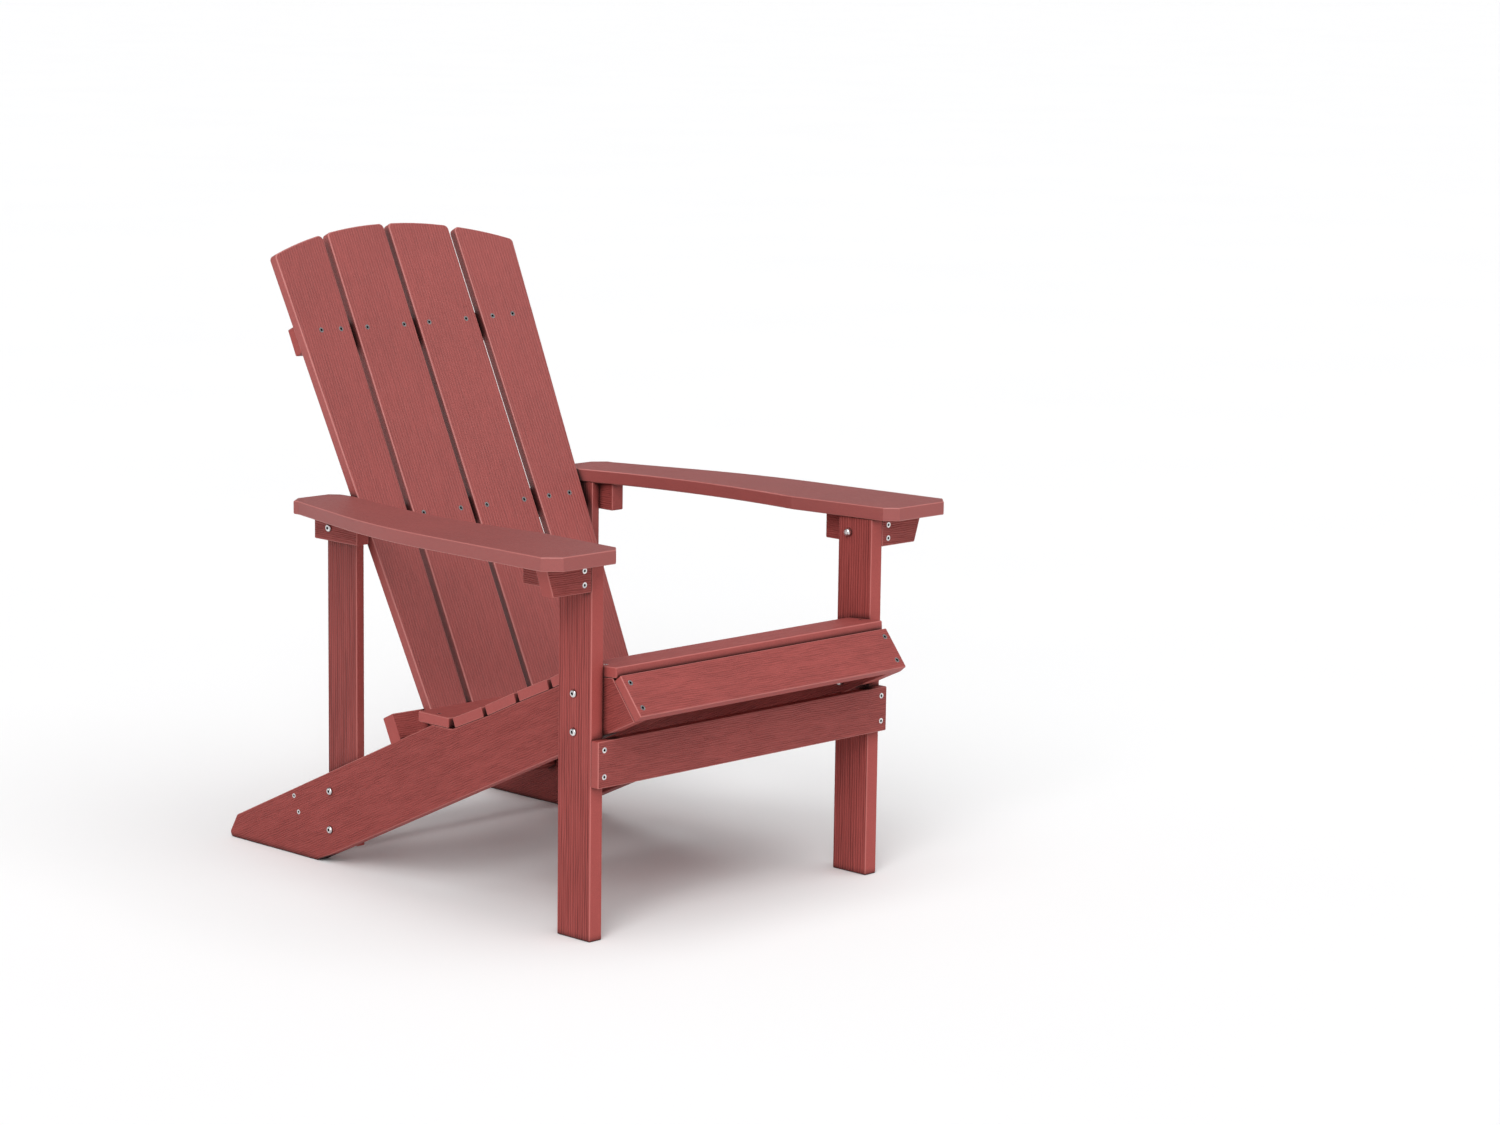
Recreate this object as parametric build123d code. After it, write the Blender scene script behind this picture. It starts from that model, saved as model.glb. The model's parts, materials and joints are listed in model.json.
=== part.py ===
from build123d import *
import math
import os

# An adirondack chair of moulded polymer boards, held together by steel screws and bolts.
# Millimetres. +X is the sitter's left, +Y runs to the rear and +Z is up. The boards are laid
# out from the front face of the front legs and from the floor, and the finished chair is then
# moved so that its origin is the middle of its bounding box, at floor level.
# The right-hand boards are mirror images of the left-hand ones.

# Board stock
THICK = 23.0  # legs, stringers, cleats, brackets, stretcher and the two lower back rails
THIN = 15.0  # slats, apron, rear posts and upper back rail
ARM_THICK = 19.5
BOARD = 65.0  # width of the narrow boards
RAIL = 42.0  # height of the rails, cleats and brackets
EDGE = 2.0  # rounding along the board edges
SLAT_EDGE = 2.5  # rounding along the back slats' edges

# Lateral stack, as distances from the middle plane
POST_IN = 226.0
STRINGER_IN = POST_IN + THIN
STRINGER_OUT = STRINGER_IN + THICK
LEG_OUT = STRINGER_OUT + THICK
CLEAT_OUT = LEG_OUT + THICK
STRINGER_MID = (STRINGER_IN + STRINGER_OUT) / 2
LEG_MID = (STRINGER_OUT + LEG_OUT) / 2
CLEAT_MID = (LEG_OUT + CLEAT_OUT) / 2

# Stringers: planks that slope from under the seat's front down to the floor at the rear
STRINGER_SLOPE = 25.0
STRINGER_TOP = 407.2  # height of the top edge's line where it passes the leg fronts
STRINGER_BOTTOM = 283.4
TAIL_TIP = 817.0  # rearmost point of the foot
TAIL_TOP = 796.0  # where the foot's end meets the top edge
TAIL_ROUND = 7.0

# Seat: six slats from rear to front, then the nose slat that leans under the front one
SEAT_REAR = (381.0, 258.8)
SEAT_TILTS = (0.0, 22.5, 24.5, 23.5, 25.0, 3.5)
SEAT_GAP = 8.0
NOSE_LEAN = 38.7
NOSE_TUCK = 0.42 * THIN  # how far the front slat's lower corner reaches over the nose
NOSE_GAP = 0.3
NOSE_SCREWS = (BOARD / 5, 4 * BOARD / 5)

# Front legs, apron and rear posts
LEG_BOLT_Y = 34.0
LEG_BOLT_HEIGHTS = (340.0, 287.0)
APRON_BOTTOM = 215.5
APRON_SCREW_HEIGHTS = (231.0, 268.0)
POST_FRONT = 543.5
POST_BOTTOM = 28.0
POST_BOLT_HEIGHTS = (109.0, 51.5)
POST_BOLT_Y = 577.0

# Rear stretcher, flush with the stringers' top edges
STRETCHER_Y = 664.5
STRETCHER_SCREWS = (-14.2, 10.8)  # up from the stretcher's middle, square to the stringer

# Arms and what carries them
ARM_UNDER = 525.0  # underside of the arms at the leg fronts
ARM_DROP = 0.45  # the arms fall this many degrees to the rear
ARM_NOSE = (396.5, -18.0)  # the widest point at the front
ARM_FRONT = ((375.0, -39.0), (280.0, -39.0), (263.5, -22.0), (250.5, 148.0))
ARM_WAIST = (257.5, 297.0)  # a point on the hollow inner edge
ARM_REAR = ((220.0, 570.0), (220.0, 601.0), (232.0, 616.0), (290.0, 616.0), (311.0, 599.0), (311.0, 588.0))
ARM_ELBOW = (378.5, 342.0)  # where the outer edge turns inwards
ARM_ELBOW_RADIUS = 1000.0
ABOVE_ARMS = (2000.0, 2000.0, 100.0)  # the cut that levels the legs, posts and cleats
FRONT_CLEAT = (THICK, 112.0)
FRONT_CLEAT_BOLT = (44.0, 501.5)
REAR_CLEAT = (515.0, 610.0)
REAR_CLEAT_TOP = 521.0
REAR_CLEAT_BOLT = (577.0, 498.0)
BRACKET_REACH = (356.8, 370.6)  # slanted outer end of the bracket, at its bottom and its top
BRACKET_SCREW_X = 300.0
BRACKET_SCREW_HEIGHTS = (494.2, 513.5)
ARM_SCREW_PLACES = (
    (CLEAT_MID, 62.0),
    (CLEAT_MID, 98.0),
    (335.0, THICK / 2),
    (STRINGER_MID, 530.0),
    (STRINGER_MID, 600.0),
)

# Back: four slats in shallow facets, hollow towards the sitter, on three rails
BACK_PIVOT = (560.6, 505.0)  # a point on the front of the slats, in the middle plane
RECLINE = 26.3
BOW_RADIUS = 2800.0
FOLD = 123.5  # distance of the outer fold from the middle
BOW_END = 233.0
SLAT_FOOT = -327.0  # bottom ends, measured up the back from BACK_PIVOT
CROWN_TOP = 454.5
CROWN_RADIUS = 670.0
CROWN_CORNER = 8.0
INNER_SLAT = (4.5, 118.4)
OUTER_SLAT_IN = 128.9
OUTER_SLAT_OUT = 215.4  # outer edge level with BACK_PIVOT
OUTER_FLARE = 0.043  # the outer edges spread by this much for each unit up the back
UPPER_RAIL = 285.0  # middles of the rails, up the back
MIDDLE_RAIL = -1.0
LOWER_RAIL = -307.5
UPPER_SCREWS = (292.5, (24.8, 97.2, 149.3, 188.3))
MIDDLE_SCREWS = (0.0, (25.7, 99.5, 148.6, 188.6))
LOWER_SCREWS = (LOWER_RAIL, (25.7, 99.5, 148.6, 184.0))

# Fasteners
SCREW_SHANK = 2.2  # radius
SCREW_HEAD = 4.0
SEAT_SCREW_HEAD = 3.5
SCREW_SINK = 2.6
SCREW_TIP = 4.0
SCREW_POINT = 0.4
SCREW_PLAY = 0.1
SOCKET = 0.52  # radius of a screw's hexagonal socket, as a share of the head's
SOCKET_DEPTH = 2.0
BOLT_SHANK = 3.0
BOLT_HEAD = 5.6
BOLT_HEAD_HEIGHT = 3.2
BOLT_HEAD_ROUND = 2.4
BOLT_PLAY = 0.15
BOLT_SOCKET = 2.5
BOLT_SOCKET_FLOOR = 1.1
NUT_RADIUS = 5.6
NUT_HEIGHT = 7.0
NUT_ROUND = 3.1
NUT_BORE_DEPTH = 5.2
SHANK_IN_NUT = 5.0
SHORT_SCREW = 25.0
SCREW = 32.0
LONG_SCREW = 55.0
STRETCHER_SCREW = 45.0
RAIL_SCREW = 62.0
LAG_IN_RAIL = 30.0

HANG = (Align.CENTER, Align.CENTER, Align.MAX)
STAND = (Align.CENTER, Align.CENTER, Align.MIN)
SIDES = (-1, 1)


def lean(degrees):
    """Sine and cosine of an angle in degrees."""
    angle = math.radians(degrees)
    return math.sin(angle), math.cos(angle)


def crossing(p, a, q, b):
    """Where the line from p at slope angle a below level meets the one from q at angle b."""
    sin_a, cos_a = lean(a)
    sin_b, cos_b = lean(b)
    away = ((q[0] - p[0]) * sin_b + (q[1] - p[1]) * cos_b) / (cos_a * sin_b - sin_a * cos_b)
    return p[0] + away * cos_a, p[1] - away * sin_a


def outline_edges(board, axis):
    """The edges around the two faces that a flat board has square to an axis."""
    groups = board.edges().group_by(axis)
    return groups[0] + groups[-1]


def block(x, y, z):
    """A rounded straight board that fills the given (low, high) ranges."""
    size = [high - low for low, high in (x, y, z)]
    middle = [(high + low) / 2 for low, high in (x, y, z)]
    board = Box(*size)
    return Pos(*middle) * fillet(board.edges(), EDGE)


def both_sides(solid):
    """The right-hand and left-hand copies of a left-hand piece."""
    return {"right": mirror(solid, about=Plane.YZ), "left": solid}


# Fasteners. Each lies along -Z with its seat at Z = 0, and each has a matching hole.


def screw(length, head=SCREW_HEAD):
    body = Cone(SCREW_SHANK, head, SCREW_SINK, align=HANG)
    body += Cylinder(SCREW_SHANK, length - SCREW_TIP, align=HANG)
    body += Pos(0, 0, SCREW_TIP - length) * Cone(SCREW_POINT, SCREW_SHANK, SCREW_TIP, align=HANG)
    return body - extrude(RegularPolygon(head * SOCKET, 6), SOCKET_DEPTH, dir=(0, 0, -1))


def screw_hole(length, head=SCREW_HEAD):
    hole = Cone(SCREW_SHANK, head, SCREW_SINK, align=HANG)
    return hole + Cylinder(SCREW_SHANK + SCREW_PLAY, length + SCREW_PLAY, align=HANG)


def bolt(length):
    dome = Cylinder(BOLT_HEAD, BOLT_HEAD_HEIGHT, align=STAND)
    dome = fillet(dome.edges().group_by(Axis.Z)[-1], BOLT_HEAD_ROUND)
    socket = extrude(RegularPolygon(BOLT_SOCKET, 6), BOLT_HEAD_HEIGHT, dir=(0, 0, 1))
    dome -= Pos(0, 0, BOLT_SOCKET_FLOOR) * socket
    return dome + Cylinder(BOLT_SHANK, length, align=HANG)


def bolt_hole(length):
    return Cylinder(BOLT_SHANK + BOLT_PLAY, length, align=HANG)


def cap_nut(grip):
    """A domed nut on the far side of boards that add up to the grip."""
    nut = Pos(0, 0, -grip) * Cylinder(NUT_RADIUS, NUT_HEIGHT, align=HANG)
    nut = fillet(nut.edges().group_by(Axis.Z)[0], NUT_ROUND)
    bore = Cylinder(BOLT_SHANK + BOLT_PLAY / 2, NUT_BORE_DEPTH, align=HANG)
    return nut - Pos(0, 0, -grip) * bore


def sideways(x, y, z):
    """A place on a left-hand face that looks outwards along +X."""
    return Plane(origin=(x, y, z), x_dir=(0, 1, 0), z_dir=(1, 0, 0))


def forwards(x, y, z):
    """A place on a face that looks forwards along -Y."""
    return Plane(origin=(x, y, z), x_dir=(1, 0, 0), z_dir=(0, -1, 0))


def downwards(x, y, z):
    """A place on an underside."""
    return Plane(origin=(x, y, z), x_dir=(1, 0, 0), z_dir=(0, 0, -1))


def overlaps(first, second):
    """Whether two bounding boxes meet."""
    pairs = zip(first.min, first.max, second.min, second.max)
    return all(low < other_high and other_low < high for low, high, other_low, other_high in pairs)


# Seat


def seat_planes():
    """The rear top edge of each seat slat: local Y runs rearwards and local Z out of the slat."""
    y, z = SEAT_REAR
    planes = []
    for tilt, following in zip(SEAT_TILTS, SEAT_TILTS[1:] + SEAT_TILTS[-1:]):
        sin_tilt, cos_tilt = lean(tilt)
        planes.append(Plane(origin=(0, y, z), x_dir=(1, 0, 0), z_dir=(0, sin_tilt, cos_tilt)))
        sin_mean, cos_mean = lean((tilt + following) / 2)
        y -= BOARD * cos_tilt + SEAT_GAP * cos_mean
        z += BOARD * sin_tilt + SEAT_GAP * sin_mean
    return planes


def nose_plane():
    """The rear top edge of the nose slat: local Y runs up the slat and local Z out of it."""
    sin_lean, cos_lean = lean(NOSE_LEAN)
    corner = SEAT_PLANES[-1].from_local_coords((0, -BOARD, -THIN))
    y = corner.Y - NOSE_GAP * sin_lean + NOSE_TUCK * cos_lean
    z = corner.Z - NOSE_GAP * cos_lean - NOSE_TUCK * sin_lean
    return Plane(origin=(0, y, z), x_dir=(1, 0, 0), z_dir=(0, -cos_lean, sin_lean))


def slat_board(align_z):
    board = Box(2 * STRINGER_OUT, BOARD, THIN, align=(Align.CENTER, Align.MAX, align_z))
    return fillet(board.edges(), EDGE)


def stringer():
    """The left stringer: its top edge is notched to carry every slat flat."""
    undersides = []
    for plane, tilt in zip(SEAT_PLANES, SEAT_TILTS):
        point = plane.from_local_coords((0, 0, -THIN))
        undersides.append(((point.Y, point.Z), tilt))
    nose = (NOSE_PLANE.origin.Y, NOSE_PLANE.origin.Z)
    nose_angle = NOSE_LEAN - 90
    top = (0, STRINGER_TOP)
    bottom = (0, STRINGER_BOTTOM)
    outline = [
        crossing(nose, nose_angle, bottom, STRINGER_SLOPE),
        crossing(bottom, STRINGER_SLOPE, (0, 0), 0),
        (TAIL_TIP, 0),
        (TAIL_TOP, stringer_top(TAIL_TOP)),
        crossing(top, STRINGER_SLOPE, *undersides[0]),
    ]
    for rear, front in zip(undersides, undersides[1:]):
        outline.append(crossing(*rear, *front))
    outline.append(crossing(*undersides[-1], nose, nose_angle))
    plank = extrude(make_face(Plane.YZ * Polyline(*outline, close=True)), THICK, dir=(1, 0, 0))
    plank = fillet(plank.edges().filter_by(Axis.X).sort_by(Axis.Y)[-2:], TAIL_ROUND)
    plank = fillet(outline_edges(plank, Axis.X), EDGE)
    return Pos(STRINGER_IN, 0, 0) * plank


def stringer_top(y):
    """Height of the stringer's top edge line."""
    return STRINGER_TOP - y * math.tan(math.radians(STRINGER_SLOPE))


def stretcher_plane():
    """The stretcher's middle: local Y is square to the stringers' edges."""
    sin_slope, cos_slope = lean(STRINGER_SLOPE)
    y = STRETCHER_Y - sin_slope * RAIL / 2
    z = stringer_top(STRETCHER_Y) - cos_slope * RAIL / 2
    return Plane(origin=(0, y, z), x_dir=(1, 0, 0), z_dir=(0, -cos_slope, sin_slope))


# Arms


def arm():
    """The left arm: flared outside, waisted inside, with clipped corners."""
    outline = Polyline(ARM_NOSE, *ARM_FRONT)
    outline += ThreePointArc(ARM_FRONT[-1], ARM_WAIST, ARM_REAR[0])
    outline += Polyline(*ARM_REAR)
    outline += FilletPolyline(ARM_REAR[-1], ARM_ELBOW, ARM_NOSE, radius=ARM_ELBOW_RADIUS)
    board = extrude(make_face(outline), ARM_THICK, dir=(0, 0, 1))
    board = fillet(outline_edges(board, Axis.Z), EDGE)
    return ARM_PLANE * board


def arm_bracket():
    """The left bracket under the front of the arm, with a slanted outer end."""
    low, high = BRACKET_REACH
    outline = [(LEG_OUT, 0), (low, 0), (high, RAIL), (LEG_OUT, RAIL)]
    board = extrude(make_face(Polyline(*outline, close=True)), THICK, dir=(0, 0, 1))
    board = fillet(board.edges(), EDGE)
    place = Plane(origin=(0, THICK, ARM_UNDER - RAIL), x_dir=(1, 0, 0), z_dir=(0, -1, 0))
    return place * board


# Back


def bow(x):
    """How far the facets stand forward of the middle at a distance from the middle plane."""
    fold = FOLD**2 / (2 * BOW_RADIUS)
    end = BOW_END**2 / (2 * BOW_RADIUS)
    if x <= FOLD:
        return fold * x / FOLD
    return fold + (end - fold) * (x - FOLD) / (BOW_END - FOLD)


def facet(start):
    """The left-hand facet that begins at a distance from the middle, in the back's plane."""
    turn = math.degrees(math.atan(bow(start + 1) - bow(start)))
    return BACK_PLANE * Location((start, 0, bow(start)), (0, -turn, 0))


def crown(x):
    """Height of the back's rounded top, up the back."""
    return CROWN_TOP - CROWN_RADIUS + math.sqrt(CROWN_RADIUS**2 - x**2)


def back_slat(start, inner, outer_foot, outer_head):
    """A left-hand back slat, drawn in its facet and cut to the crown's arc."""
    middle = (inner + outer_head) / 2
    foot = [(outer_foot - start, SLAT_FOOT), (inner - start, SLAT_FOOT)]
    head = [(x - start, crown(x)) for x in (inner, middle, outer_head)]
    outline = Polyline(head[-1], *foot, head[0]) + ThreePointArc(*head)
    board = extrude(make_face(outline), THIN, dir=(0, 0, -1))
    corners = board.edges().filter_by(Axis.Z).sort_by(Axis.Y)[-2:]
    board = fillet(corners, CROWN_CORNER)
    board = fillet(outline_edges(board, Axis.Z), SLAT_EDGE)
    return facet(start) * board


def back_rail(middle, thickness, reach):
    """A rail across the back of the slats, bent to follow the facets."""
    slack = 1 / math.cos(math.atan(bow(FOLD + 1) - bow(FOLD)))
    stations = (-reach, -FOLD, 0, FOLD, reach)
    front = [(x, bow(abs(x)) - THIN * slack) for x in stations]
    rear = [(x, forward - thickness) for x, forward in reversed(front)]
    plan = Plane(origin=(0, middle - RAIL / 2, 0), x_dir=(1, 0, 0), z_dir=(0, -1, 0))
    outline = Polyline(*[(x, forward) for x, forward in front + rear], close=True)
    rail = extrude(make_face(plan * outline), RAIL, dir=(0, 1, 0))
    rail = fillet(outline_edges(rail, Axis.Y), EDGE)
    return BACK_PLANE * rail


def back_fasteners(maker, row, length):
    """One screw or hole for each place of a row across the back slats."""
    height, places = row
    solids = []
    for x in places:
        start = 0 if x < FOLD else FOLD
        solid = facet(start) * Pos(x - start, height, 0) * maker(length)
        solids += both_sides(solid).values()
    return solids


def at_places(maker, places, *details):
    """Left-hand fasteners at each place, with their mirror images."""
    solids = []
    for place in places:
        solids += both_sides(place * maker(*details)).values()
    return solids


SEAT_PLANES = seat_planes()
NOSE_PLANE = nose_plane()
STRETCHER_PLANE = stretcher_plane()
ARM_PLANE = Plane(
    origin=(0, 0, ARM_UNDER), x_dir=(1, 0, 0), z_dir=(0, lean(ARM_DROP)[0], lean(ARM_DROP)[1])
)
BACK_PLANE = Plane(
    origin=(0, *BACK_PIVOT), x_dir=(1, 0, 0), z_dir=(0, -lean(RECLINE)[1], lean(RECLINE)[0])
)


def boards():
    """Every board by name, before drilling."""
    above_arms = ARM_PLANE * Box(*ABOVE_ARMS, align=STAND)
    legs = (0, BOARD)
    post = (POST_FRONT, POST_FRONT + BOARD)
    front_rise = (ARM_UNDER - RAIL, ARM_UNDER)
    rear_rise = (REAR_CLEAT_TOP - RAIL, REAR_CLEAT_TOP)
    left = {
        "stringer": stringer(),
        "front_leg": block((STRINGER_OUT, LEG_OUT), legs, (0, ARM_UNDER)) - above_arms,
        "rear_post": block((POST_IN, STRINGER_IN), post, (POST_BOTTOM, ARM_UNDER)) - above_arms,
        "front_arm_cleat": block((LEG_OUT, CLEAT_OUT), FRONT_CLEAT, front_rise) - above_arms,
        "front_arm_bracket": arm_bracket() - above_arms,
        "rear_arm_cleat": block((STRINGER_IN, STRINGER_OUT), REAR_CLEAT, rear_rise) - above_arms,
        "arm": arm(),
    }
    found = {}
    for name, solid in left.items():
        for side, copy in both_sides(solid).items():
            found[f"{name}_{side}"] = copy

    inner_slat = back_slat(0, INNER_SLAT[0], INNER_SLAT[1], INNER_SLAT[1])
    outer_foot = OUTER_SLAT_OUT + OUTER_FLARE * SLAT_FOOT
    outer_head = OUTER_SLAT_OUT + OUTER_FLARE * crown(OUTER_SLAT_OUT)
    outer_slat = back_slat(FOLD, OUTER_SLAT_IN, outer_foot, outer_head)
    for side in ("right", "left"):
        found[f"back_slat_{side}_inner"] = both_sides(inner_slat)[side]
        found[f"back_slat_{side}_outer"] = both_sides(outer_slat)[side]
    found["back_rail_upper"] = back_rail(UPPER_RAIL, THIN, POST_IN)
    found["back_rail_middle"] = back_rail(MIDDLE_RAIL, THICK, POST_IN)
    lower_rail = back_rail(LOWER_RAIL, THICK, STRINGER_OUT)
    found["back_rail_lower"] = lower_rail - [found["stringer_right"], found["stringer_left"]]

    for number, plane in enumerate(SEAT_PLANES, start=1):
        found[f"seat_slat_{number}"] = plane * slat_board(Align.MAX)
    found["nose_slat"] = NOSE_PLANE * slat_board(Align.MIN)
    apron_rise = (APRON_BOTTOM, APRON_BOTTOM + BOARD)
    found["front_apron"] = block((-LEG_OUT, LEG_OUT), (-THIN, 0), apron_rise)
    stretcher = fillet(Box(2 * STRINGER_IN, RAIL, THICK).edges(), EDGE)
    found["rear_stretcher"] = STRETCHER_PLANE * stretcher
    return found


def fastener_plan():
    """Every group of fasteners: its name, maker, hole maker, left-hand places and sizes."""
    leg_bolts = [sideways(LEG_OUT, LEG_BOLT_Y, height) for height in LEG_BOLT_HEIGHTS]
    post_bolts = [sideways(STRINGER_OUT, POST_BOLT_Y, height) for height in POST_BOLT_HEIGHTS]
    front_bolt = [sideways(CLEAT_OUT, *FRONT_CLEAT_BOLT)]
    rear_bolt = [sideways(STRINGER_OUT, *REAR_CLEAT_BOLT)]
    leg_grip = LEG_OUT - STRINGER_IN
    post_grip = STRINGER_OUT - POST_IN
    seat = [plane * Pos(STRINGER_MID, -BOARD / 2, 0) for plane in SEAT_PLANES]
    nose = [NOSE_PLANE * Pos(STRINGER_MID, -down, THIN) for down in NOSE_SCREWS]
    apron = [forwards(LEG_MID, -THIN, height) for height in APRON_SCREW_HEIGHTS]
    bracket = [forwards(BRACKET_SCREW_X, 0, height) for height in BRACKET_SCREW_HEIGHTS]
    stretcher = []
    for up in STRETCHER_SCREWS:
        point = STRETCHER_PLANE.from_local_coords((0, up, 0))
        stretcher.append(sideways(STRINGER_OUT, point.Y, point.Z))
    arm_screws = []
    for x, y in ARM_SCREW_PLACES:
        top = ARM_UNDER if y < REAR_CLEAT[0] else REAR_CLEAT_TOP
        arm_screws.append(downwards(x, y, top - RAIL))
    rail_top = LOWER_RAIL + RAIL / 2
    rail_depth = bow(STRINGER_MID) - THIN - THICK / 2
    up_the_back = Location((STRINGER_MID, rail_top, rail_depth), (-90, 0, 0))
    return [
        ("seat_screws", screw, screw_hole, seat, (SCREW, SEAT_SCREW_HEAD)),
        ("nose_screws", screw, screw_hole, nose, (SCREW,)),
        ("apron_screws", screw, screw_hole, apron, (SCREW,)),
        ("bracket_screws", screw, screw_hole, bracket, (LONG_SCREW,)),
        ("stretcher_screws", screw, screw_hole, stretcher, (STRETCHER_SCREW, SEAT_SCREW_HEAD)),
        ("arm_screws", screw, screw_hole, arm_screws, (LONG_SCREW,)),
        ("lower_rail_screws", screw, screw_hole, [BACK_PLANE * up_the_back], (RAIL_SCREW,)),
        ("leg_bolts", bolt, bolt_hole, leg_bolts, (leg_grip + SHANK_IN_NUT,)),
        ("post_bolts", bolt, bolt_hole, post_bolts, (post_grip + SHANK_IN_NUT,)),
        ("front_cleat_bolts", bolt, bolt_hole, front_bolt, (2 * THICK + SHANK_IN_NUT,)),
        ("rear_cleat_bolts", bolt, bolt_hole, rear_bolt, (post_grip + LAG_IN_RAIL,)),
        ("leg_bolt_nuts", cap_nut, None, leg_bolts, (leg_grip,)),
        ("post_bolt_nuts", cap_nut, None, post_bolts, (post_grip,)),
        ("front_cleat_nuts", cap_nut, None, front_bolt, (2 * THICK,)),
    ]


def fasteners():
    """Every group of fasteners by name, and all the holes that they need."""
    groups = {}
    holes = []
    for name, maker, hole_maker, places, sizes in fastener_plan():
        groups[name] = at_places(maker, places, *sizes)
        if hole_maker:
            holes += at_places(hole_maker, places, *sizes)
    rows = {
        "back_screws_upper": (UPPER_SCREWS, SHORT_SCREW),
        "back_screws_middle": (MIDDLE_SCREWS, SCREW),
        "back_screws_lower": (LOWER_SCREWS, SCREW),
    }
    for name, (row, length) in rows.items():
        groups[name] = back_fasteners(screw, row, length)
        holes += back_fasteners(screw_hole, row, length)
    return groups, holes


def drilled(board, holes):
    """The board with every hole that reaches it cut out."""
    extent = board.bounding_box()
    cuts = [hole for hole in holes if overlaps(extent, hole.bounding_box())]
    return board - cuts if cuts else board


def main():
    groups, holes = fasteners()
    pieces = {name: [drilled(board, holes)] for name, board in boards().items()}
    pieces.update(groups)
    nodes = {name: [solid for item in items for solid in item.solids()] for name, items in pieces.items()}
    extent = Compound([solid for group in nodes.values() for solid in group]).bounding_box()
    centred = Pos(-extent.center().X, -extent.center().Y, -extent.min.Z)
    os.makedirs("parts", exist_ok=True)
    for name, group in nodes.items():
        placed = [centred * solid for solid in group]
        node = placed[0] if len(placed) == 1 else Compound(placed)
        node.label = name
        export_step(node, f"parts/{name}.step")


main()
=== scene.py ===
import json
import math
import random

import bpy
from mathutils import Matrix, Vector

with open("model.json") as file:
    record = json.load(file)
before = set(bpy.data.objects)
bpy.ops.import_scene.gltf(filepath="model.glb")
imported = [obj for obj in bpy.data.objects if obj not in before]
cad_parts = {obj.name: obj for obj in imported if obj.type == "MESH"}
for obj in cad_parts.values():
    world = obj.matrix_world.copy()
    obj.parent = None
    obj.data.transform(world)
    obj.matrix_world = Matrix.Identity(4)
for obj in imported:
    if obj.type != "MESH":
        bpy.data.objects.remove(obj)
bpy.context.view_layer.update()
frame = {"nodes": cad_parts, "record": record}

# Looks of a moulded-polymer adirondack chair. Metres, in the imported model's own frame:
# +X to the sitter's left, +Y to the rear, +Z up. Every CAD node keeps its own shape here
# and gets a procedural material that follows the way its board was moulded.
# Colours are linear, with their alpha. A pair of numbers is a range, lowest first.

SEED = 11  # for the stretch of grain that each board is given
GRAIN_PLACES = (2.0, 9.0)

# Camera: a long lens above the back's height, looking down at the chair's right front corner
CAMERA_PLACE = (-3.8035, -4.0940, 1.3884)
CAMERA_AZIMUTH = 45.717
CAMERA_PITCH = 9.560
CAMERA_ROLL = 0.7995
LENS = 93.35
SENSOR = 36.0
CLIP_END = 400.0

# Polymer colours
RIDGE = (0.315, 0.063, 0.056, 1.0)
GROOVE = (0.112, 0.017, 0.015, 1.0)
# Painted highlight: a paler colour laid on the boards' rounded edges, where light catches them
RIM_HIGHLIGHT = (0.490, 0.175, 0.158, 1.0)
GROOVE_SHARE = 0.80  # how far the deepest line goes from RIDGE to GROOVE
RIM_HIGHLIGHT_SHARE = 0.55  # how far a rounded edge goes to the colour of its painted highlight

# How squarely a surface faces out of the board on a broad face, and the band of its rounded rim
# that gets a painted highlight
BROAD_FACE = (0.80, 0.97)
RIM_HIGHLIGHT_BAND = (0.35, 0.95)
SAME_WAY = 0.99  # cosine above which two faces count as parallel
SQUARE = 0.1  # cosine below which two faces count as square to each other

# Lines of the grain. Lengths are those of one cell of noise.
MEANDER = (0.045, 0.015, 0.045)  # how slowly the lines wander along, across and through
STROKE_WIDTH = 0.55  # of the distance between lines
STROKE_BAND = (0.36, 0.62)
PATCH_LENGTH = 3.0  # of a stroke's length
PATCH_WIDTH = 0.012
PATCH_THICKNESS = 0.2
PATCH_BAND = (0.30, 0.60)
PATCH_DEPTH = (0.70, 1.0)  # how deep the lines are in a shallow patch and in a full one
GRAIN_DEPTH = 0.0012
GRAIN_STRENGTH = 0.9

# Fine stipple all over, and slow mottling of the colour
NOISE_BAND = (0.30, 0.70)
STIPPLE = 0.0011
STIPPLE_DEPTH = 0.00035
STIPPLE_STRENGTH = 0.7
STIPPLE_TONE = (0.90, 1.10)
STIPPLE_ROUGHNESS = (0.50, 0.62)
GROOVE_ROUGHNESS = 0.12
MOTTLE = 0.11
MOTTLE_TONE = (0.97, 1.03)

# Painted shade: the colour darkens in gaps and corners between boards, where shade falls
GAP_REACH = 0.016
GAP_BAND = (0.35, 0.88)
GAP_SHADE = (0.10, 1.0)
GAP_SAMPLES = 8

# Grains: distance between lines, length of a stroke, how far the lines wander sideways, how
# broken they are, and how strongly they show
PINSTRIPE = {"pitch": 0.0047, "length": 0.090, "wander": 0.0030, "broken": 0.38, "contrast": 1.0}
STREAK = {"pitch": 0.0031, "length": 0.024, "wander": 0.0046, "broken": 0.36, "contrast": 0.70}
FINE = {"pitch": 0.0050, "length": 0.022, "wander": 0.0016, "broken": 0.32, "contrast": 0.52}
FAINT = {"pitch": 0.0040, "length": 0.008, "wander": 0.0040, "broken": 0.85, "contrast": 0.22}
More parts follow.
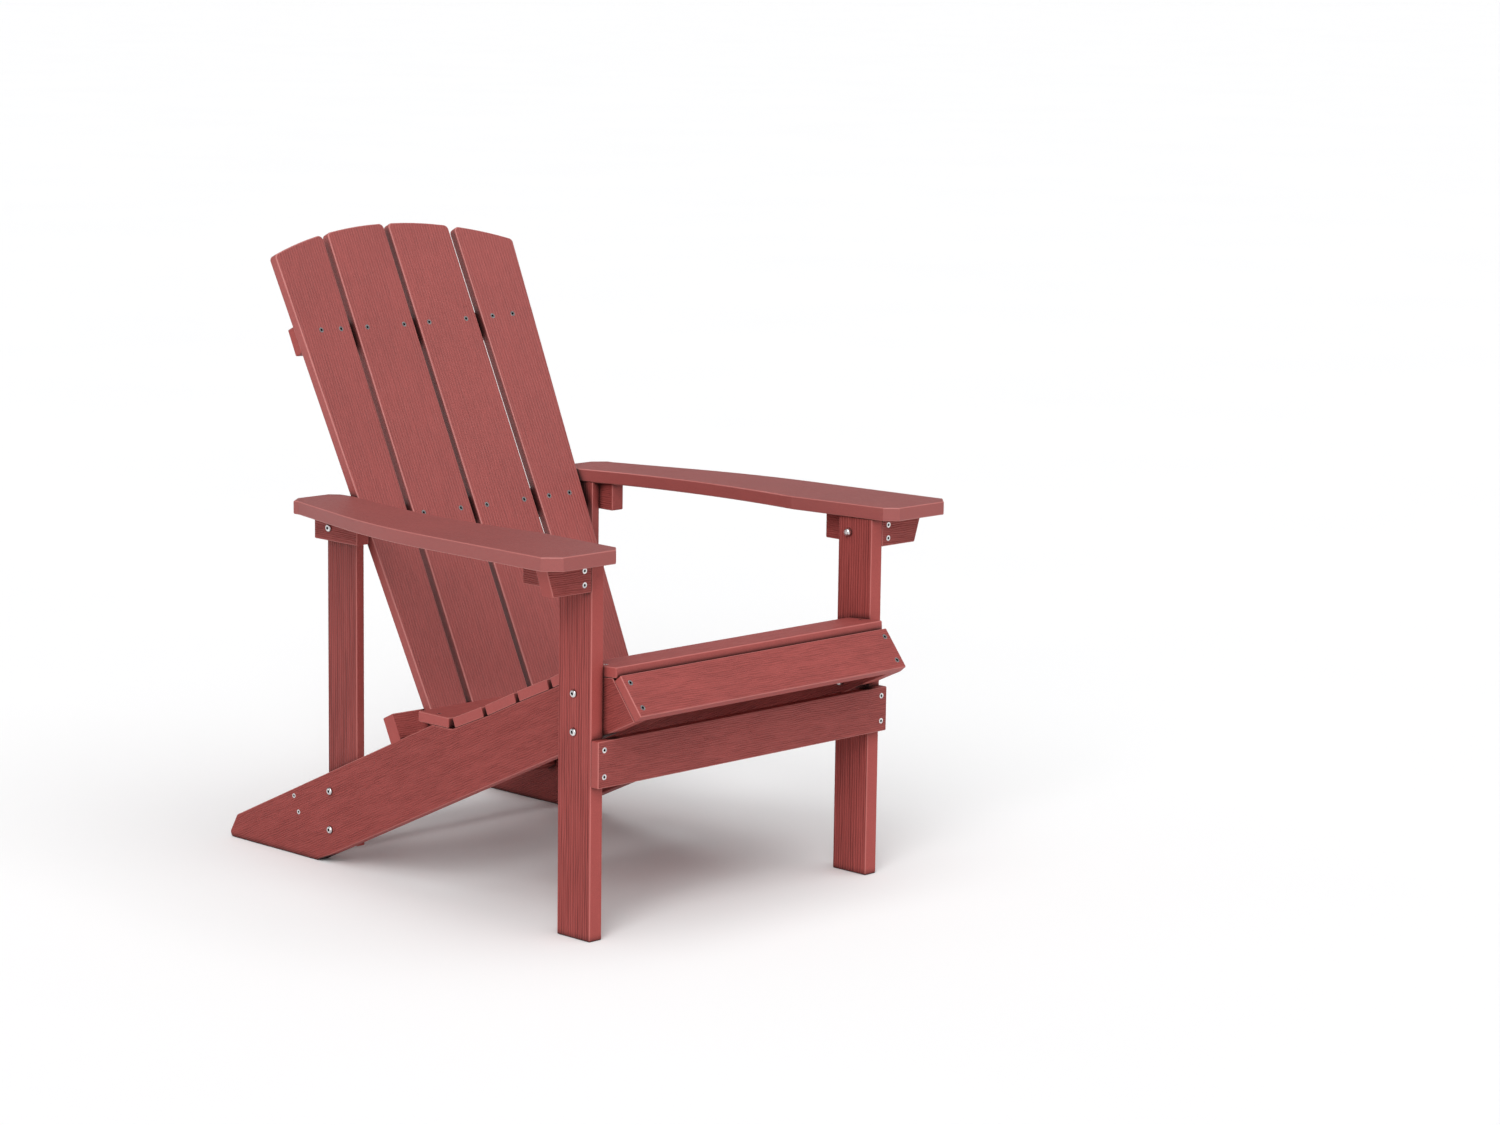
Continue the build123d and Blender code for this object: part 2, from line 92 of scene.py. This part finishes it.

# Each kind of board: its grain, a brightness that scales its colour as painted light and shade for
# how light falls on that board, and how glossy it is
BOARDS = {
    "front_leg": (PINSTRIPE, 1.10, 0.18),
    "rear_post": (PINSTRIPE, 0.92, 0.25),
    "stringer": (STREAK, 0.96, 0.18),
    "front_apron": (STREAK, 1.00, 0.26),
    "nose_slat": (STREAK, 1.04, 0.34),
    "rear_stretcher": (STREAK, 1.00, 0.26),
    "front_arm_bracket": (STREAK, 1.00, 0.22),
    "front_arm_cleat": (STREAK, 1.00, 0.22),
    "rear_arm_cleat": (STREAK, 1.00, 0.22),
    "back_rail": (STREAK, 1.00, 0.22),
    "seat_slat": (FINE, 1.06, 0.34),
    "back_slat": (FINE, 1.00, 0.62),
    "arm": (FAINT, 0.84, 0.70),
}

# Steel of the screws, bolts and nuts
DULL_STEEL = (0.52, 0.52, 0.54, 1.0)
BRIGHT_STEEL = (0.80, 0.79, 0.78, 1.0)
# Painted shade in the recessed sockets of the heads
SOCKET_SHADE = (0.012, 0.011, 0.011, 1.0)
SOCKET_REACH = 0.003
SOCKET_BAND = (0.50, 0.90)
SOCKET_SAMPLES = 12
CLOUD = 0.004
CLOUD_BAND = (0.35, 0.65)
MARK = 0.0006
MARK_ROUGHNESS = (0.16, 0.32)
MARK_STRENGTH = 0.25
MARK_DEPTH = 0.00008

# Studio: floor, room and two broad suns with their direction, strength and spread
FLOOR_HALF = 90.0
FLOOR_CELL = 0.9
FLOOR_SHADES = ((0.87, 0.87, 0.87, 1.0), (0.89, 0.89, 0.89, 1.0))
FLOOR_ROUGHNESS = 0.9
FLOOR_GLOSS = 0.1
HORIZON = (1.0, 1.0, 1.0, 1.0)
CEILING = (0.26, 0.26, 0.265, 1.0)
FADE = (0.04, 0.40)  # heights between which the room darkens, on a sphere of radius 1
SUNS = {
    "key": ((0.70, 0.46, -0.55), 1.75, 36.0),
    "top": ((0.05, 0.30, -1.0), 1.80, 70.0),
}


class Nodes:
    """Adds shader nodes to a tree and links or sets their inputs in one call each."""

    def __init__(self, tree):
        self.tree = tree

    def add(self, kind, settings=(), **inputs):
        """A new node's first output. Inputs go by name, or as i0, i1 and on by number."""
        node = self.tree.nodes.new(kind)
        for name, value in dict(settings).items():
            setattr(node, name, value)
        for name, value in inputs.items():
            socket = node.inputs[int(name[1:])] if name[1:].isdigit() else node.inputs[name]
            if isinstance(value, bpy.types.NodeSocket):
                self.tree.links.new(value, socket)
            else:
                socket.default_value = value
        return node.outputs[0]

    def source(self, kind, output):
        """One output of a new node that has no inputs."""
        return self.tree.nodes.new(kind).outputs[output]

    def math(self, operation, *values):
        inputs = {f"i{index}": value for index, value in enumerate(values)}
        return self.add("ShaderNodeMath", {"operation": operation}, **inputs)

    def parts(self, vector):
        """The X, Y and Z of a vector."""
        return self.add("ShaderNodeSeparateXYZ", Vector=vector).node.outputs

    def turned(self, vector, kind, rotation, **shift):
        settings = {"vector_type": kind}
        return self.add("ShaderNodeMapping", settings, Vector=vector, Rotation=rotation, **shift)

    def scaled(self, vector, factor):
        return self.add("ShaderNodeVectorMath", {"operation": "SCALE"}, i0=vector, i3=factor)

    def noise(self, vector, cell, detail=2.0):
        """Noise whose cells have their own length along each axis."""
        settings = {"operation": "DIVIDE"}
        stretched = self.add("ShaderNodeVectorMath", settings, i0=vector, i1=cell)
        return self.add("ShaderNodeTexNoise", Vector=stretched, Scale=1.0, Detail=detail)

    def remap(self, value, band, result=(0.0, 1.0), interpolation="SMOOTHSTEP"):
        """A value's place in a band, as a value in the result's range."""
        settings = {"interpolation_type": interpolation}
        ends = {"i1": band[0], "i2": band[1], "i3": result[0], "i4": result[1]}
        return self.add("ShaderNodeMapRange", settings, i0=value, **ends)

    def mix(self, factor, first, second):
        """A colour between two others."""
        inputs = {"i0": factor, "i6": first, "i7": second}
        return self.add("ShaderNodeMix", {"data_type": "RGBA"}, **inputs).node.outputs[2]

    def mix_value(self, share, first, second):
        """A value between two others, in a fixed share."""
        part = self.math("MULTIPLY", second, share)
        return self.math("ADD", self.math("MULTIPLY", first, 1.0 - share), part)

    def openness(self, reach, samples):
        """1 in the open, falling towards 0 in a gap or hollow within reach."""
        settings = {"samples": samples}
        return self.add("ShaderNodeAmbientOcclusion", settings, Distance=reach).node.outputs["AO"]

    def bump(self, height, strength, distance, **normal):
        inputs = {"Height": height, "Strength": strength, "Distance": distance}
        return self.add("ShaderNodeBump", **inputs, **normal)


def new_material(name):
    material = bpy.data.materials.new(name)
    material.use_nodes = True
    shader = material.node_tree.nodes["Principled BSDF"]
    return material, shader, Nodes(material.node_tree)


def set_uniform(shader, **values):
    for name, value in values.items():
        shader.inputs[name.replace("_", " ")].default_value = value


def extent(mesh, direction):
    """How far a mesh reaches along a direction."""
    reach = [vertex.co.dot(direction) for vertex in mesh.vertices]
    return max(reach) - min(reach)


def face_directions(mesh):
    """Directions that a board's faces look in, widest first, opposite faces together."""
    found = []
    for polygon in sorted(mesh.polygons, key=lambda face: -face.area):
        for entry in found:
            if abs(polygon.normal.dot(entry[0])) > SAME_WAY:
                entry[1] += polygon.area
                break
        else:
            found.append([polygon.normal.copy(), polygon.area])
    found.sort(key=lambda entry: -entry[1])
    return [direction for direction, area in found]


def board_frame(mesh):
    """Rotation that takes a point to its place along, across and through a board."""
    directions = face_directions(mesh)
    through = directions[0].normalized()
    side = next(facing for facing in directions[1:] if abs(facing.dot(through)) < SQUARE)
    across = (side - through * side.dot(through)).normalized()
    along = across.cross(through)
    if extent(mesh, across) > extent(mesh, along):
        across = through.cross(across)
        along = across.cross(through)
    return Matrix((along, across, through)).to_euler()


def grain_lines(nodes, point, grain):
    """How deep the moulded lines lie: 0 on a ridge and up to 1 in a groove."""
    # Even lines that wander from side to side
    meander = nodes.noise(point, MEANDER, detail=1.0)
    wander = nodes.math("MULTIPLY", nodes.math("SUBTRACT", meander, 0.5), grain["wander"])
    shift = nodes.add("ShaderNodeCombineXYZ", Y=wander)
    bent = nodes.add("ShaderNodeVectorMath", {"operation": "ADD"}, i0=point, i1=shift)
    turns = nodes.math("MULTIPLY", nodes.parts(bent)["Y"], 2 * math.pi / grain["pitch"])
    even = nodes.remap(nodes.math("SINE", turns), (-1.0, 1.0), interpolation="LINEAR")

    # Strokes that break them up, and patches where they are shallower
    stroke = (grain["length"], grain["pitch"] * STROKE_WIDTH, grain["length"])
    uneven = nodes.remap(nodes.noise(bent, stroke, detail=1.5), STROKE_BAND)
    patch = (grain["length"] * PATCH_LENGTH, PATCH_WIDTH, PATCH_THICKNESS)
    depth = nodes.remap(nodes.noise(point, patch, detail=1.0), PATCH_BAND, PATCH_DEPTH)
    ridge = nodes.mix_value(grain["broken"], even, uneven)
    return nodes.math("MULTIPLY", nodes.math("SUBTRACT", 1.0, ridge), depth)


def polymer(name, mesh, finish, place):
    """Red-brown moulded polymer: embossed grain on the faces, stippled plain edges with a painted
    highlight, and painted shade in the gaps between boards.
    """
    grain, painted_brightness, gloss = finish
    material, shader, nodes = new_material(name)
    rotation = board_frame(mesh)
    coordinates = nodes.source("ShaderNodeTexCoord", "Object")
    normal = nodes.source("ShaderNodeNewGeometry", "Normal")
    point = nodes.turned(coordinates, "POINT", rotation, Location=place)

    # broad is 1 on the two broad faces and 0 on the edges; the rim band lies on the rounding
    # between them, where the surface faces out of the board and sideways alike, and gets a painted
    # highlight
    flatness = nodes.math("ABSOLUTE", nodes.parts(nodes.turned(normal, "VECTOR", rotation))["Z"])
    broad = nodes.remap(flatness, BROAD_FACE)
    rest = nodes.math("SUBTRACT", 1.0, nodes.math("MULTIPLY", flatness, flatness))
    sideness = nodes.math("SQRT", nodes.math("MAXIMUM", rest, 0.0))
    rounding = nodes.math("MULTIPLY", nodes.math("MULTIPLY", flatness, sideness), 2.0)
    rim_highlight = nodes.remap(rounding, RIM_HIGHLIGHT_BAND)

    shown = nodes.math("MULTIPLY", broad, grain["contrast"])
    cut = nodes.math("MULTIPLY", grain_lines(nodes, point, grain), shown)
    stipple = nodes.noise(point, (STIPPLE,) * 3)
    mottle = nodes.noise(point, (MOTTLE,) * 3)

    colour = nodes.mix(nodes.math("MULTIPLY", cut, GROOVE_SHARE), RIDGE, GROOVE)
    # Random mottle of the colour, scaled by each kind of board's brightness as painted light and
    # shade
    mottle_and_painted_light = nodes.remap(mottle, NOISE_BAND, [tone * painted_brightness for tone in MOTTLE_TONE])
    fine_tone = nodes.remap(stipple, NOISE_BAND, STIPPLE_TONE)
    colour = nodes.scaled(colour, nodes.math("MULTIPLY", fine_tone, mottle_and_painted_light))
    # Painted highlight: the rounded edges go part way to a paler colour, as if light caught them
    colour = nodes.mix(nodes.math("MULTIPLY", rim_highlight, RIM_HIGHLIGHT_SHARE), colour, RIM_HIGHLIGHT)
    # Painted shade: the colour darkens where other boards close in within reach, in gaps and
    # corners
    painted_gap_shade = nodes.remap(nodes.openness(GAP_REACH, GAP_SAMPLES), GAP_BAND, GAP_SHADE)
    nodes.tree.links.new(nodes.scaled(colour, painted_gap_shade), shader.inputs["Base Color"])

    smooth = nodes.remap(stipple, NOISE_BAND, STIPPLE_ROUGHNESS)
    rough = nodes.math("ADD", smooth, nodes.math("MULTIPLY", cut, GROOVE_ROUGHNESS))
    nodes.tree.links.new(rough, shader.inputs["Roughness"])
    grained = nodes.bump(nodes.math("SUBTRACT", 1.0, cut), GRAIN_STRENGTH, GRAIN_DEPTH)
    finished = nodes.bump(stipple, STIPPLE_STRENGTH, STIPPLE_DEPTH, Normal=grained)
    nodes.tree.links.new(finished, shader.inputs["Normal"])
    set_uniform(shader, Specular_IOR_Level=gloss)
    return material


def steel():
    """Bright stainless steel with fine tumbling marks, and painted shade darkening the recessed
    sockets.
    """
    material, shader, nodes = new_material("polished_steel")
    coordinates = nodes.source("ShaderNodeTexCoord", "Object")
    marks = nodes.noise(coordinates, (MARK,) * 3, detail=3.0)
    clouds = nodes.noise(coordinates, (CLOUD,) * 3)
    colour = nodes.mix(nodes.remap(clouds, CLOUD_BAND), DULL_STEEL, BRIGHT_STEEL)
    # Painted shade: the colour goes dark in sockets and recesses within reach
    unshaded = nodes.remap(nodes.openness(SOCKET_REACH, SOCKET_SAMPLES), SOCKET_BAND)
    colour = nodes.mix(unshaded, SOCKET_SHADE, colour)
    nodes.tree.links.new(colour, shader.inputs["Base Color"])
    rough = nodes.remap(marks, NOISE_BAND, MARK_ROUGHNESS)
    nodes.tree.links.new(rough, shader.inputs["Roughness"])
    bumped = nodes.bump(marks, MARK_STRENGTH, MARK_DEPTH)
    nodes.tree.links.new(bumped, shader.inputs["Normal"])
    set_uniform(shader, Metallic=1.0)
    return material


def dress_nodes():
    """Gives each board its own polymer material, and every fastener the steel."""
    draw = random.Random(SEED)
    slots = {part["node"]: part["material_slot"] for part in frame["record"]["subparts"]}
    metal = steel()
    for name, piece in sorted(frame["nodes"].items()):
        material = metal
        if slots[name] == "board":
            kind = max((key for key in BOARDS if name.startswith(key)), key=len)
            place = tuple(draw.uniform(*GRAIN_PLACES) for _ in range(3))
            material = polymer(f"polymer_{name}", piece.data, BOARDS[kind], place)
        for slot in piece.material_slots:
            slot.material = material


def add_camera():
    azimuth, pitch, roll = map(math.radians, (CAMERA_AZIMUTH, CAMERA_PITCH, CAMERA_ROLL))
    ahead = Vector(
        (math.sin(azimuth) * math.cos(pitch), math.cos(azimuth) * math.cos(pitch), -math.sin(pitch))
    )
    level = Vector((math.cos(azimuth), -math.sin(azimuth), 0))
    upright = level.cross(ahead)
    right = level * math.cos(roll) + upright * math.sin(roll)
    top = upright * math.cos(roll) - level * math.sin(roll)
    data = bpy.data.cameras.new("camera")
    data.sensor_width = SENSOR
    data.lens = LENS
    data.clip_end = CLIP_END
    camera = bpy.data.objects.new("camera", data)
    aim = Matrix((right, top, -ahead)).transposed()
    camera.matrix_world = Matrix.Translation(CAMERA_PLACE) @ aim.to_4x4()
    bpy.context.scene.collection.objects.link(camera)
    bpy.context.scene.camera = camera


def add_floor():
    """A plain pale floor that runs to the horizon."""
    half = FLOOR_HALF
    mesh = bpy.data.meshes.new("floor")
    corners = [(-half, -half, 0), (half, -half, 0), (half, half, 0), (-half, half, 0)]
    mesh.from_pydata(corners, [], [(0, 1, 2, 3)])
    floor = bpy.data.objects.new("floor", mesh)
    bpy.context.scene.collection.objects.link(floor)
    material, shader, nodes = new_material("studio_floor")
    clouds = nodes.noise(nodes.source("ShaderNodeTexCoord", "Object"), (FLOOR_CELL,) * 3)
    nodes.tree.links.new(nodes.mix(clouds, *FLOOR_SHADES), shader.inputs["Base Color"])
    set_uniform(shader, Roughness=FLOOR_ROUGHNESS, Specular_IOR_Level=FLOOR_GLOSS)
    mesh.materials.append(material)


def add_room():
    """A soft white room that darkens upwards."""
    world = bpy.data.worlds.new("studio")
    world.use_nodes = True
    nodes = Nodes(world.node_tree)
    height = nodes.parts(nodes.source("ShaderNodeTexCoord", "Generated"))["Z"]
    colour = nodes.mix(nodes.remap(height, FADE), HORIZON, CEILING)
    background = world.node_tree.nodes["Background"]
    world.node_tree.links.new(colour, background.inputs["Color"])
    background.inputs["Strength"].default_value = 1.0
    bpy.context.scene.world = world


def add_suns():
    """Broad soft light from the camera's left and from above."""
    for name, (towards, strength, spread) in SUNS.items():
        data = bpy.data.lights.new(name, "SUN")
        data.energy = strength
        data.angle = math.radians(spread)
        lamp = bpy.data.objects.new(name, data)
        lamp.rotation_euler = Vector(towards).to_track_quat("-Z", "Y").to_euler()
        bpy.context.scene.collection.objects.link(lamp)


dress_nodes()
add_camera()
add_floor()
add_room()
add_suns()
bpy.context.scene.view_settings.view_transform = "Standard"
